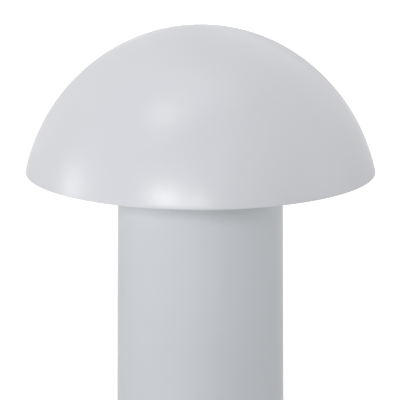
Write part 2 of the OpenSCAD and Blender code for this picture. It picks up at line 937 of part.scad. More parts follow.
module port_cover() {
    plate_y = floor_y + move_gap;
    color(stem_paint) {
        difference() {
            intersection() {
                translate([0, plate_y, 0]) facing_back(pad_depth) flap_shape(0);
                stem_solid(0, hinge_z - flap_w, flap_top + flap_w);
            }
            hinge_ears(ear_r + move_gap, 0);
            translate([0, stem_r(flap_top) + notch_out, flap_top + move_gap]) sphere(notch_r);
        }
        hinge_bar(barrel_r, barrel_w);
        hinge_bar(trunnion_r, barrel_w + 2 * trunnion_l);
        translate([0, plate_y - plug_t, port_z]) facing_back(plug_t + 0.5) slot_shape(plug_size);
    }
}

// The battery pack

// Places its children at the two cells, x being the side
module at_cells() {
    for (x = [-1, 1]) translate([x * cell_x, cell_y, 0]) children();
}

module battery_cell(side) {
    color(wrap_blue) translate([side * cell_x, cell_y, cell_z]) {
        cylinder(d = cell_d, h = cell_h - 0.8);
        raise(cell_h - 0.8) cylinder(d = cell_d * (side < 0 ? 0.3 : 0.8), h = 0.8);
    }
}

module battery_cell_left() {
    battery_cell(-1);
}

module battery_cell_right() {
    battery_cell(1);
}

module battery_holder() {
    top = cell_top + tab_t;
    color(black_plastic) difference() {
        union() {
            raise(ballast_top) holder_plate(holder_base_t);
            raise(top) holder_plate(holder_wall);
            translate([-cell_x - cell_d / 2, spine_y, ballast_top])
                cube([2 * cell_x + cell_d, holder_wall, top + holder_wall - ballast_top]);
            for (h = clip_heights) raise(cell_z + h - clip_h / 2) holder_clips();
            for (x = [-1, 1]) translate([x * holder_w / 2, cell_y, ballast_top + holder_base_t / 2])
                cube([2 * holder_ear, holder_ear, holder_base_t], center = true);
        }
        at_cells() raise(top - over) cylinder(d = terminal_w + 1, h = holder_wall + 2 * over);
        for (x = [-1, 1]) translate([x * holder_screw_x, cell_y, ballast_top - over])
            cylinder(d = m3[0] + 0.4, h = holder_base_t + 2 * over);
    }
}

// An end plate of the holder, from the front of the cells to the spine
module holder_plate(t) {
    linear_extrude(t) band_outline(cell_d / 2 + holder_rim, spine_y + holder_wall);
}

// Fingers that reach round the cells from the spine
module holder_clips() {
    difference() {
        at_cells() cylinder(d = cell_d + 2 * slip_gap + 2 * clip_t, h = clip_h);
        at_cells() raise(-over) cylinder(d = cell_d + 2 * slip_gap, h = clip_h + 2 * over);
        translate([-holder_w, cell_y - clip_reach - cell_d, -over])
            cube([2 * holder_w, cell_d, clip_h + 2 * over]);
    }
}

module battery_terminals() {
    color(nickel) for (x = [-1, 1])
        translate([x * cell_x - terminal_w / 2, cell_y - terminal_l / 2, cell_top])
            cube([terminal_w, terminal_l, tab_t]);
}

module battery_link() {
    color(nickel) translate([0, cell_y, cell_z - tab_t]) linear_extrude(tab_t)
        square([2 * cell_x + terminal_w, terminal_w], center = true);
}

module battery_band() {
    back = spine_y + holder_wall + slip_gap;
    color(rubber) raise(cell_z + cell_h / 2 - band_w / 2) linear_extrude(band_w) difference() {
        band_outline(cell_d / 2 + slip_gap + band_t, back + band_t);
        band_outline(cell_d / 2 + slip_gap, back);
    }
}

// The outline round both cells, at radius r, and round the spine, as far back as y
module band_outline(r, y) {
    for (x = [-1, 1]) translate([x * cell_x, cell_y]) circle(r);
    translate([-cell_x, cell_y - r]) square([2 * cell_x, r + 1]);
    translate([-cell_x - r, cell_y]) square([2 * (cell_x + r), y - cell_y]);
}

module battery_lead() {
    over_z = cell_top + wire_rise;
    color(rubber) for (side = [-1, 1]) {
        x = -socket_x + side * wire_pitch / 2;
        end = [side * cell_x, cell_y];
        tube(rounded_route([
            [x, lead_y, lead_z],
            [x, lead_y, over_z + (side + 1) * wire_d],
            [end.x, end.y, over_z + (side + 1) * wire_d],
            [end.x, end.y, cell_top + tab_t]], wire_bend), wire_d);
    }
}

module holder_screws() {
    color(steel) for (x = [-1, 1])
        translate([x * holder_screw_x, cell_y, ballast_top + holder_base_t])
            pan_screw(m3, holder_screw_l);
}

// The base

module ballast_disc() {
    color(steel) raise(ballast_z) difference() {
        cylinder(r = ballast_r, h = ballast_t);
        raise(-over) {
            cylinder(d = ballast_hole_d, h = ballast_t + 2 * over);
            ring_of(4, base_screw_ring, base_turn) cylinder(d = m3[0] + 0.6, h = ballast_t + 2 * over);
        }
        for (x = [-1, 1]) translate([x * holder_screw_x, cell_y, ballast_t - holder_screw_l])
            cylinder(d = m3[0] + 2 * thread_gap, h = holder_screw_l + over);
    }
}

module base_cover() {
    groove = seal_d + 2 * groove_side;
    color(stem_paint) difference() {
        union() {
            raise(cover_z) cylinder(r = cover_r, h = cover_t);
            raise(ballast_z) flat_ring(cover_r, cover_r - skirt_t, skirt_h);
        }
        raise(seal_z - groove / 2) flat_ring(stem_d, cover_r - seal_d, groove);
        raise(cover_z - over) flat_ring(foot_out + slip_gap, foot_in - slip_gap, foot_groove + over);
        ring_of(4, base_screw_ring, base_turn) {
            raise(cover_z - over) cylinder(d = m3[0] + 0.4, h = cover_t + 2 * over);
            raise(cover_z - slip_gap) cylinder(d1 = m3_flat[1] + 0.4, d2 = m3_flat[0] + 0.2,
                h = m3_flat[2] + 0.2);
        }
    }
}

module base_seal() {
    r = stem_r(seal_z) - stem_wall - squeeze_gap - seal_d / 2;
    color(rubber) raise(seal_z) rotate_extrude() translate([r, 0]) circle(d = seal_d);
}

module base_screws() {
    color(steel) raise(cover_z) ring_of(4, base_screw_ring, base_turn)
        rotate([180, 0, 0]) flat_screw(m3_flat, base_screw_l);
}

module foot_ring() {
    color(rubber) flat_ring(foot_out, foot_in, foot_gap + foot_groove);
}

shade();
shade_bracket();
shade_screws();
led_carrier();
carrier_nuts();
led_board();
led_chips();
led_board_screws();
led_socket();
diffuser();
diffuser_screws();
diffuser_seal();
collar_gasket();
stem_housing();
stem_screws();
cable_grommet();
led_lead();
control_board();
control_chips();
power_inductor();
lead_sockets();
lead_plugs();
board_screws();
usb_socket();
usb_tongue();
switch_body();
switch_plunger();
button_cap();
button_seal();
charge_led();
charge_light_pipe();
port_cover();
battery_holder();
battery_cell_left();
battery_cell_right();
battery_terminals();
battery_link();
battery_band();
battery_lead();
holder_screws();
ballast_disc();
base_cover();
base_seal();
base_screws();
foot_ring();
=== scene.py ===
# %% [markdown]
# A cordless table lamp, dressed around its CAD frame
#
# The lamp is a smooth dome on a thick round stem, painted one pale grey. Nothing on it is busy,
# so the picture stands or falls on three things: the exact curve of the dome, the softness of
# its highlights, and the slow change from light to dark round the stem. This lesson loads the
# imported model, sets up the camera and a plain studio, paints every piece, and remodels the few
# pieces whose edges the eye comes close to.

# %% Load the frame
import json
import math

import bmesh
import bpy
from mathutils import Matrix, Vector


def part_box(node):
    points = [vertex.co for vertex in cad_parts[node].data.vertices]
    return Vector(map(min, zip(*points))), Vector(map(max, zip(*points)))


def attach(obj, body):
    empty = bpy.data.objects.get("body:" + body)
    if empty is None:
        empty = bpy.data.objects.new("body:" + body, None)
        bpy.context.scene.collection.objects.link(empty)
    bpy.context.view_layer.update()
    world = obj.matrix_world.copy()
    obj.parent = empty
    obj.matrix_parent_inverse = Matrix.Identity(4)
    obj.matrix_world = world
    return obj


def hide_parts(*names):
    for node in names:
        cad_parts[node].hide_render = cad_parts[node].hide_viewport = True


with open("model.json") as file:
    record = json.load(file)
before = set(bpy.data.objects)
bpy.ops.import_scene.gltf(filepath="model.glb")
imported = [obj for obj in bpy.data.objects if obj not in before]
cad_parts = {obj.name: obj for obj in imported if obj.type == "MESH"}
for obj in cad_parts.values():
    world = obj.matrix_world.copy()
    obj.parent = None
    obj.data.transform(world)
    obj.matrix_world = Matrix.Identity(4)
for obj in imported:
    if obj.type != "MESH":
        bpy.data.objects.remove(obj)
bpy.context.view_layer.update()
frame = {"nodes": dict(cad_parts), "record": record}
nodes = frame["nodes"]
scene = bpy.context.scene
scene.view_settings.view_transform = "Standard"

# %% [markdown]
# The lamp's main sizes
#
# The CAD model is drawn in millimetres and arrives here in metres. The dome's curve could be
# traced from the photograph point by point. A toolmaker draws it with as few arcs as will do, and
# few arcs also keep the highlights calm. Two are enough here, and they meet without a kink: a
# crown about the axis, and a shoulder that runs down through the rim. Only the crown is given. The
# shoulder's radius follows from where it has to end, so it is worked out as in the CAD source.

# %% Main sizes
MM = 0.001
LAMP_H = 220 * MM
SHADE_R = 80 * MM
SHADE_H = 67 * MM
SHADE_WALL = 2.4 * MM
CROWN_R = 79 * MM
CROWN_DEG = 35
RIM_Z = LAMP_H - SHADE_H

crown_centre = Vector((0, 0, LAMP_H - CROWN_R))
crown_dir = Vector((math.sin(math.radians(CROWN_DEG)), 0, math.cos(math.radians(CROWN_DEG))))
crown_end = crown_centre + CROWN_R * crown_dir
to_rim = Vector((SHADE_R, 0, RIM_Z)) - crown_end
shoulder_r = -to_rim.length_squared / (2 * to_rim.dot(crown_dir))
shoulder_centre = crown_end - shoulder_r * crown_dir
print(f"shoulder radius {shoulder_r / MM:.1f} mm, rim at {RIM_Z / MM:.0f} mm")

# %% [markdown]
# The camera
#
# The photograph was taken from a little above and from far away: the rim's ellipse is 77 pixels
# high and 350 wide, and the stem hardly tapers. A near camera would show the same pieces, but
# the stem would shrink towards the table. So the camera stands 2.5 m away and 12.7 degrees above
# the level. A long lens does the cropping, which leaves the foot below the picture.

# %% Camera
CAMERA_ELEVATION = 12.7
CAMERA_DISTANCE = 2.5
CAMERA_REACH = 50
PIXELS = 400
PIXELS_PER_M = 2190
RIM_PIXEL = (200.43, 171.2)
SENSOR_MM = 36

tilt = math.radians(CAMERA_ELEVATION)
camera_back = Vector((0, -math.cos(tilt), math.sin(tilt)))
camera_up = Vector((0, math.sin(tilt), math.cos(tilt)))
aim = Vector((0, 0, RIM_Z))
aim -= Vector((1, 0, 0)) * (RIM_PIXEL[0] - PIXELS / 2) / PIXELS_PER_M
aim -= camera_up * (PIXELS / 2 - RIM_PIXEL[1]) / PIXELS_PER_M

camera = bpy.data.objects.new("photo_camera", bpy.data.cameras.new("photo_camera"))
camera.data.sensor_width = SENSOR_MM
camera.data.lens = PIXELS_PER_M * CAMERA_DISTANCE * SENSOR_MM / PIXELS
camera.data.clip_end = CAMERA_REACH
camera.location = aim + camera_back * CAMERA_DISTANCE
camera.rotation_euler = camera_back.to_track_quat("Z", "Y").to_euler()
scene.collection.objects.link(camera)
scene.camera = camera
print(f"lens {camera.data.lens:.0f} mm")

# %% [markdown]
# Node helpers
#
# A finish is a small tree of nodes. It could be drawn by hand in the shader editor. Written as
# code, it can be read, changed and run again, as long as it stays short. Three helpers see to
# that: one adds a node and sets its inputs, one starts a material with its shader, and one links
# what a finish has worked out to the shader's sockets.

# %% Node helpers
def add_node(tree, kind, inputs=None, **settings):
    """Adds a node, sets its properties from settings and its sockets from inputs."""
    node = tree.nodes.new(kind)
    for name, value in settings.items():
        setattr(node, name, value)
    for name, value in (inputs or {}).items():
        socket = node.inputs[name]
        if isinstance(value, bpy.types.NodeSocket):
            tree.links.new(value, socket)
        else:
            socket.default_value = value
    return node


def start_material(name, **shader):
    """A new material with a Principled shader. Returns the material, its tree and the shader."""
    material = bpy.data.materials.new(name)
    material.use_nodes = True
    tree = material.node_tree
    bsdf = tree.nodes["Principled BSDF"]
    for socket, value in shader.items():
        bsdf.inputs[socket.replace("_", " ")].default_value = value
    return material, tree, bsdf


def link(tree, bsdf, **outputs):
    """Links outputs to the shader's sockets. An underscore stands for a space in their names."""
    for socket, output in outputs.items():
        tree.links.new(output, bsdf.inputs[socket.replace("_", " ")])


print("node helpers ready")

# %% [markdown]
# Patterns
#
# No real surface has one even colour and one even gloss. Pictures of surfaces could be laid on
# the pieces, but a picture has seams and a size. Noise has neither. It is read in the object's
# own coordinates, in metres, so a grain has its true size and stays put when its piece moves.

# %% Patterns
NOISE_LOW = 0.3
NOISE_HIGH = 0.7
EVEN = (1, 1, 1)


def object_noise(tree, per_metre, detail=2.0, stretch=EVEN):
    """Noise in the object's own coordinates, with so many features per metre."""
    where = add_node(tree, "ShaderNodeTexCoord").outputs["Object"]
    if stretch != EVEN:
        where = add_node(tree, "ShaderNodeMapping", {"Vector": where, "Scale": stretch}).outputs[0]
    return add_node(tree, "ShaderNodeTexNoise",
                    {"Vector": where, "Scale": per_metre, "Detail": detail}).outputs["Fac"]


def spread(tree, noise, low, high):
    """Spreads the noise over the range from low to high."""
    return add_node(tree, "ShaderNodeMapRange",
                    {"Value": noise, "From Min": NOISE_LOW, "From Max": NOISE_HIGH,
                     "To Min": low, "To Max": high}).outputs["Result"]


def tint(tree, noise, dark, light):
    """Mixes two colours by the noise."""
    ramp = add_node(tree, "ShaderNodeValToRGB", {"Fac": noise})
    start, end = ramp.color_ramp.elements
    start.position, end.position = NOISE_LOW, NOISE_HIGH
    start.color = (*dark, 1)
    end.color = (*light, 1)
    return ramp.outputs["Color"]


def bump(tree, height, strength, depth):
    """A bump from a height value; depth is in metres."""
    return add_node(tree, "ShaderNodeBump",
                    {"Height": height, "Strength": strength, "Distance": depth}).outputs["Normal"]


def toned(colour, factor):
    """The colour made lighter or darker by a factor."""
    return tuple(min(1.0, part * factor) for part in colour)


print("patterns use noise from", NOISE_LOW, "to", NOISE_HIGH)

# %% [markdown]
# What the eye sees
#
# The photograph's ground is pure white. A real sheet isn't, at this light level, and more light
# would bleach the lamp too. So the sheet and the room ask which kind of ray has come. A ray of
# the camera, of a gloss or of a glass finds white there. The soft bounces that light the lamp
# find something darker.

# %% What the eye sees
def seen_by_eye(tree):
    """1 for rays that the camera, a gloss or a glass sends out, and 0 for soft bounces."""
    path = add_node(tree, "ShaderNodeLightPath").outputs
    eye = add_node(tree, "ShaderNodeMath", {0: path["Is Camera Ray"], 1: path["Is Glossy Ray"]},
                   operation="MAXIMUM")
    return add_node(tree, "ShaderNodeMath",
                    {0: eye.outputs[0], 1: path["Is Transmission Ray"]},
                    operation="MAXIMUM").outputs[0]


print("the eye sees by camera, gloss and glass rays")

# %% [markdown]
# The white sheet
#
# The lamp stands on white paper that reaches past the picture on every side. It could shine by
# itself like a light table, but then it would have no shadow. Plain paper with a little glow for
# the eye, more so far out, still darkens where the lamp shades it. From below the paper can be
# looked through, to see the lamp's base.

# %% White sheet
PAPER_WHITE = 0.8
PAPER_ROUGHNESS = 0.9
GLOW_NEAR, GLOW_FAR = 0.35, 0.75
GLOW_NEAR_AT, GLOW_FAR_AT = 0.4, 1.6


def white_sheet():
    """White paper that looks brighter than it is, and from below isn't there."""
    material, tree, bsdf = start_material("floor_sheet", Roughness=PAPER_ROUGHNESS,
                                          Base_Color=(PAPER_WHITE,) * 3 + (1,),
                                          Emission_Color=(1, 1, 1, 1))
    where = add_node(tree, "ShaderNodeTexCoord").outputs["Object"]
    far = add_node(tree, "ShaderNodeVectorMath", {0: where}, operation="LENGTH").outputs["Value"]
    lift = add_node(tree, "ShaderNodeMapRange",
                    {"Value": far, "From Min": GLOW_NEAR_AT, "From Max": GLOW_FAR_AT,
                     "To Min": GLOW_NEAR, "To Max": GLOW_FAR}).outputs["Result"]
    glow = add_node(tree, "ShaderNodeMath", {0: seen_by_eye(tree), 1: lift}, operation="MULTIPLY")
    link(tree, bsdf, Emission_Strength=glow.outputs[0])
    below = add_node(tree, "ShaderNodeNewGeometry").outputs["Backfacing"]
    gone = add_node(tree, "ShaderNodeBsdfTransparent").outputs[0]
    sheet = add_node(tree, "ShaderNodeMixShader", {0: below, 1: bsdf.outputs[0], 2: gone})
    tree.links.new(sheet.outputs[0], tree.nodes["Material Output"].inputs["Surface"])
    return material


floor_mesh = bpy.data.meshes.new("floor")
floor_mesh.materials.append(white_sheet())
print("paper", PAPER_WHITE, "white")

# %% [markdown]
# The sheet's shape could be one large square. It is a wide ring: a round hole under the base,
# which nobody sees from above, lets the room's light in there for a look from below.

# %% Floor
FLOOR_R = 8
FLOOR_HOLE_R = 29 * MM
FLOOR_SIDES = 96

bm = bmesh.new()
bmesh.ops.create_circle(bm, cap_ends=False, segments=FLOOR_SIDES, radius=FLOOR_HOLE_R)
pulled = bmesh.ops.extrude_edge_only(bm, edges=bm.edges[:])
outside = [item for item in pulled["geom"] if isinstance(item, bmesh.types.BMVert)]
bmesh.ops.scale(bm, vec=(FLOOR_R / FLOOR_HOLE_R,) * 3, verts=outside)
bmesh.ops.recalc_face_normals(bm, faces=bm.faces)
if bm.faces[:][0].normal.z < 0:
    bmesh.ops.reverse_faces(bm, faces=bm.faces)
bm.to_mesh(floor_mesh)
bm.free()
floor = bpy.data.objects.new("floor", floor_mesh)
scene.collection.objects.link(floor)
print("floor", FLOOR_R, "m in radius")

# %% [markdown]
# The room
#
# The room could be a panorama of a real studio, but its windows and stands would show in every
# gloss. A white world is as plain as the photograph. To the eye it is white, and as a light it is
# weaker, so that the lamps can model the round forms.

# %% World
WORLD_STRENGTH = 0.24

world = bpy.data.worlds.new("white_room")
scene.world = world
world.use_nodes = True
room = world.node_tree
room.nodes.clear()
strength = add_node(room, "ShaderNodeMapRange", {"Value": seen_by_eye(room),
                                                 "To Min": WORLD_STRENGTH, "To Max": 1.0})
white = add_node(room, "ShaderNodeBackground", {"Color": (1, 1, 1, 1),
                                                "Strength": strength.outputs["Result"]})
add_node(room, "ShaderNodeOutputWorld", {"Surface": white.outputs[0]})
print("world", WORLD_STRENGTH)

# %% [markdown]
# Lamps
#
# The highlights in the photograph say where its lamps stood. A pixel on the dome shows the
# direction that it reflects: the big highlight over the rim lies 24 degrees left of the camera
# and 15 degrees up, its tail comes from where the camera stands, one more from straight left,
# and the soft one in the middle from high on the left. The stem is lit evenly right up to the rim,
# so the main light there is low. Its right edge glows, so one more stands behind on the right.
#
# A few lamps could do all of it, but then each change would move both a highlight and a shadow.
# So only the key lamp does both. The cards draw highlights alone and the others shape the form
# alone, and each could be set against the photograph by itself. All are white: the greys are the
# paint's own.

# %% Lamps
# name: azimuth and elevation in degrees, width and height in metres, watts, what it lights
SOFTBOXES = {
    "key_softbox": (-23.5, 15.5, 0.46, 0.17, 5.0, "all"),
    "low_softbox": (-60, -1, 0.8, 0.24, 4.3, "diffuse"),
    "overhead_fill": (0, 88, 0.8, 0.8, 7.7, "diffuse"),
    "high_fill": (15, 30, 0.6, 0.6, 1.3, "diffuse"),
    "right_fill": (90, 10, 0.9, 0.4, 3.3, "diffuse"),
    "right_rear_fill": (165, 14, 0.5, 0.5, 5.0, "diffuse"),
    "back_fill": (-166, 48, 0.9, 0.6, 2.5, "diffuse"),
    "back_low_fill": (188, -1, 1.1, 0.24, 2.0, "diffuse"),
    "front_card": (-1, 13, 0.28, 0.12, 1.8, "gloss"),
    "wide_card": (-14, 14, 0.7, 0.16, 1.0, "gloss"),
    "left_card": (-91, 6, 0.4, 0.45, 2.9, "gloss"),
    "high_card": (-49, 63.5, 0.46, 0.34, 1.9, "gloss"),
}
LAMP_DISTANCE = 1.4


def softbox(name, azimuth, elevation, width, height, watts, lights):
    """A rectangular lamp that faces the dome. Azimuth 0 is the camera's side, 90 the right."""
    light = bpy.data.lights.new(name, "AREA")
    light.shape = "RECTANGLE"
    light.size, light.size_y = width, height
    light.energy = watts
    turn, rise = math.radians(azimuth), math.radians(elevation)
    away = Vector((math.sin(turn) * math.cos(rise), -math.cos(turn) * math.cos(rise),
                   math.sin(rise)))
    lamp = bpy.data.objects.new(name, light)
    lamp.location = Vector((0, 0, RIM_Z)) + away * LAMP_DISTANCE
    lamp.rotation_euler = away.to_track_quat("Z", "Y").to_euler()
    lamp.visible_camera = False
    lamp.visible_diffuse = lights != "gloss"
    lamp.visible_glossy = lights != "diffuse"
    scene.collection.objects.link(lamp)


for name, setting in SOFTBOXES.items():
    softbox(name, *setting)
print("lamps", ", ".join(SOFTBOXES))

# %% [markdown]
# Painted plastic
#
# The shade and the stem are moulded plastic under a satin paint. Paint is never quite even: its
# gloss drifts a little from place to place and its skin has a very fine orange peel. A coat over
# a dull ground could make a satin too. Real satin paint has one skin, though, so one gloss is
# enough.
#
# A plain gloss grows strong at the outline and mirrors what stands behind the lamp there. Seen
# from the back, the front cards then burn white bites into the dome. The matting grains in a
# satin paint break that mirror up. So the gloss fades towards the outline, by half on the upright
# stem and to nothing on the dome. There a soft sheen stands for what the grains scatter instead.

# %% Satin paint
PAINT_IOR = 1.5
GLOSS_FADE = (0.3, 0.78)
SHEEN_ROUGHNESS = 0.5
CLOUDS_PER_M = 35
COLOUR_DRIFT = 0.008
ROUGHNESS_DRIFT = 0.02
PEEL_PER_M = 1400
PEEL_STRENGTH, PEEL_DEPTH = 0.3, 0.004 * MM


def paint(name, colour, roughness, gloss, edge_gloss, sheen=0.0):
    """Satin paint: a drifting gloss that fades towards the outline, and fine orange peel."""
    # The full gloss also stands on its socket, for an exported model that can't hold the fade
    material, tree, bsdf = start_material(name, IOR=PAINT_IOR, Specular_IOR_Level=gloss,
                                          Sheen_Weight=sheen, Sheen_Roughness=SHEEN_ROUGHNESS)
    cloud = object_noise(tree, CLOUDS_PER_M, detail=3)
    peel = object_noise(tree, PEEL_PER_M)
    edge = add_node(tree, "ShaderNodeLayerWeight").outputs["Facing"]
    fade = add_node(tree, "ShaderNodeMapRange",
                    {"Value": edge, "From Min": GLOSS_FADE[0], "From Max": GLOSS_FADE[1],
                     "To Min": gloss, "To Max": edge_gloss}, interpolation_type="SMOOTHSTEP")
    link(tree, bsdf, Specular_IOR_Level=fade.outputs["Result"],
         Base_Color=tint(tree, cloud, toned(colour, 1 - COLOUR_DRIFT),
                         toned(colour, 1 + COLOUR_DRIFT)),
         Roughness=spread(tree, cloud, roughness - ROUGHNESS_DRIFT, roughness + ROUGHNESS_DRIFT),
         Normal=bump(tree, peel, PEEL_STRENGTH, PEEL_DEPTH))
    return material


print(f"orange peel {PEEL_DEPTH / MM:.3f} mm deep")

# %% [markdown]
# Most finishes come in a few variants. Each variant could have its own function, but they differ
# only in a few values, so a finish has one maker and a list of recipes. The shade's grey is a
# little bluer than the stem's, as in the photograph.

# %% Mix the paints
SHADE_GREY = (0.648, 0.655, 0.689)
STEM_GREY = (0.609, 0.630, 0.661)
finishes = {}


def mix(maker, recipes):
    """Makes a finish from each recipe and keeps it under its name."""
    for name, recipe in recipes.items():
        finishes[name] = maker(name, *recipe)
    print("mixed", ", ".join(recipes))


# name: colour, roughness, gloss, gloss at the outline, sheen
mix(paint, {
    "shade_paint": (SHADE_GREY, 0.32, 0.5, 0.0, 0.65),
    "stem_paint": (STEM_GREY, 0.42, 0.28, 0.14),
    "button_paint": (STEM_GREY, 0.36, 0.4, 0.2),
})

# %% [markdown]
# Moulded plastics
#
# The base cover, the battery holder and the sockets are moulded plastics. Their colour alone
# could pass for paint. What tells them apart at close range is their skin: the base cover comes
# from a spark-eroded tool, so it has a fine pebble, and the smooth inside parts show only slow
# flow marks in their gloss.

# %% Plastics
PLASTIC_IOR = 1.5
FLOW_PER_M = 60
FLOW_STRETCH = (1, 1, 0.4)
FLOW_DRIFT = 0.03
PEBBLES_PER_M = 1800
PEBBLE_STRENGTH = 0.5


def moulded(name, colour, roughness, pebble_depth):
    """Moulded plastic: slow flow marks in the gloss, and a pebble as deep as the tool left it."""
    material, tree, bsdf = start_material(name, IOR=PLASTIC_IOR)
    flow = object_noise(tree, FLOW_PER_M, stretch=FLOW_STRETCH)
    pebble = object_noise(tree, PEBBLES_PER_M, detail=3)
    link(tree, bsdf,
         Base_Color=tint(tree, flow, toned(colour, 1 - FLOW_DRIFT), toned(colour, 1 + FLOW_DRIFT)),
         Roughness=spread(tree, flow, roughness - FLOW_DRIFT, roughness + FLOW_DRIFT),
         Normal=bump(tree, pebble, PEBBLE_STRENGTH, pebble_depth))
    return material


# name: colour, roughness, depth of the pebble
mix(moulded, {
    "base_plastic": ((0.565, 0.578, 0.600), 0.50, 0.030 * MM),
    "white_plastic": ((0.80, 0.80, 0.78), 0.38, 0.006 * MM),
    "black_plastic": ((0.018, 0.018, 0.020), 0.40, 0.015 * MM),
})

# %% [markdown]
# The opal diffuser
#
# The ring under the shade is opal polycarbonate: light goes in, scatters and comes out soft. It
# could be a glass with a milky volume inside, which is slow and grainy to render. Scattering
# below the surface, over a few millimetres and under a satin skin, gives the same look at once.

# %% Opal plastic
OPAL_IOR = 1.58
OPAL_MILK = 0.6
OPAL_REACH = 3 * MM
OPAL_COLOUR_REACH = (1.0, 0.9, 0.8)
OPAL_ROUGHNESS = (0.36, 0.44)
MILK_PER_M = 90
MILK_DARK, MILK_LIGHT = 0.985, 1.01
SKIN_PER_M = 2200
SKIN_STRENGTH, SKIN_DEPTH = 0.4, 0.008 * MM


def opal(name, colour):
    """Opal plastic that scatters light inside, with a satin skin."""
    material, tree, bsdf = start_material(name, IOR=OPAL_IOR, Subsurface_Weight=OPAL_MILK,
                                          Subsurface_Radius=OPAL_COLOUR_REACH,
                                          Subsurface_Scale=OPAL_REACH)
    milk = object_noise(tree, MILK_PER_M)
    skin = object_noise(tree, SKIN_PER_M)
    link(tree, bsdf,
         Base_Color=tint(tree, milk, toned(colour, MILK_DARK), toned(colour, MILK_LIGHT)),
         Roughness=spread(tree, skin, *OPAL_ROUGHNESS),
         Normal=bump(tree, skin, SKIN_STRENGTH, SKIN_DEPTH))
    return material


mix(opal, {"opal_plastic": ((0.90, 0.885, 0.85),)})

# %% [markdown]
# Rubber and silicone
#
# The port cover and the foot ring are silicone, the seals and the band are rubber. They could be
# plain dull plastics, and would look like chalk. Real ones hardly shine, but they let a little
# light in, and handling leaves them unevenly dull.

# %% Rubbers
RUBBER_IOR = 1.42
RUBBER_REACH = 1 * MM
DULL_PER_M = 140
DULL_DRIFT = 0.05
DULL_SMOOTHER, DULL_ROUGHER = 0.06, 0.05
TOOTH_PER_M = 3200
TOOTH_STRENGTH, TOOTH_DEPTH = 0.5, 0.012 * MM


def rubber(name, colour, roughness, glow=0.0):
    """Matt rubber: dull, unevenly so, with a very fine tooth. Silicone glows a little inside."""
    material, tree, bsdf = start_material(name, IOR=RUBBER_IOR, Subsurface_Weight=glow,
                                          Subsurface_Radius=EVEN, Subsurface_Scale=RUBBER_REACH)
    dull = object_noise(tree, DULL_PER_M, detail=4)
    tooth = object_noise(tree, TOOTH_PER_M)
    link(tree, bsdf,
         Base_Color=tint(tree, dull, toned(colour, 1 - DULL_DRIFT), toned(colour, 1 + DULL_DRIFT)),
         Roughness=spread(tree, dull, roughness - DULL_SMOOTHER, roughness + DULL_ROUGHER),
         Normal=bump(tree, tooth, TOOTH_STRENGTH, TOOTH_DEPTH))
    return material


# name: colour, roughness, glow inside
mix(rubber, {
    "cover_silicone": ((0.588, 0.607, 0.636), 0.62, 0.25),
    "foot_rubber": ((0.075, 0.076, 0.080), 0.66, 0.05),
    "soft_rubber": ((0.024, 0.024, 0.026), 0.58),
    "lead_sleeve": ((0.014, 0.014, 0.016), 0.46),
})

# %% [markdown]
# Metals
#
# Screws, nuts, the ballast disc, the carrier plate and the battery's strips keep the marks of how
# they were made. An even mirror would look like chrome. The carrier plate was rolled, so its
# grain runs one way, which is noise stretched that way. The battery's strips have theirs upright,
# and the zinc plate on the screws has a faint bloom.

# %% Metals
GRAIN_PER_M = 900
GRAIN_DRIFT = 0.07
GRAIN_STRENGTH, GRAIN_DEPTH = 0.35, 0.008 * MM
BLOOM_PER_M = 220
METAL_DARK, METAL_LIGHT = 0.94, 1.04


def metal(name, colour, roughness, grain=EVEN, bloom=None):
    """Bare or plated metal. The grain's stretch gives the rolling direction."""
    material, tree, bsdf = start_material(name, Metallic=1.0)
    lines = object_noise(tree, GRAIN_PER_M, detail=3, stretch=grain)
    cloud = object_noise(tree, BLOOM_PER_M, detail=3)
    link(tree, bsdf,
         Base_Color=tint(tree, cloud, toned(colour, METAL_DARK),
                         bloom or toned(colour, METAL_LIGHT)),
         Roughness=spread(tree, lines, roughness - GRAIN_DRIFT, roughness + GRAIN_DRIFT),
         Normal=bump(tree, lines, GRAIN_STRENGTH, GRAIN_DEPTH))
    return material


# name: colour, roughness, stretch of the grain, colour of the bloom
mix(metal, {
    "aluminium_plate": ((0.78, 0.79, 0.80), 0.36, (0.05, 1, 1)),
    "steel_parts": ((0.56, 0.57, 0.59), 0.30, EVEN, (0.60, 0.59, 0.54)),
    "nickel_plate": ((0.66, 0.63, 0.58), 0.27, (1, 1, 0.1)),
    "brass_nut": ((0.72, 0.52, 0.22), 0.28),
})

# %% [markdown]
# Circuit boards
#
# A solder mask is a thin gloss varnish over copper. The copper shows through as fields that are a
# shade lighter and stand up by the foil's thickness. Real tracks could be drawn one by one, on
# boards that are hardly ever seen. Cells of a brick pattern with wide joints look like the filled
# areas and gaps of a real layout at this size.

# %% Boards
MASK_IOR = 1.55
MASK_ROUGHNESS = 0.32
FIELD_W, FIELD_H = 4.1 * MM, 1.7 * MM
FIELD_GAP, FIELD_EDGE = 0.28 * MM, 0.15
FIELD_TONE = 0.9
ROW_SHIFT = 0.37
NARROW_ROW, NARROW_EVERY = 0.7, 3
FOIL_STRENGTH, FOIL_T = 0.6, 0.035 * MM
LYING = (0, 0, 0)
UPRIGHT = (math.radians(90), 0, 0)


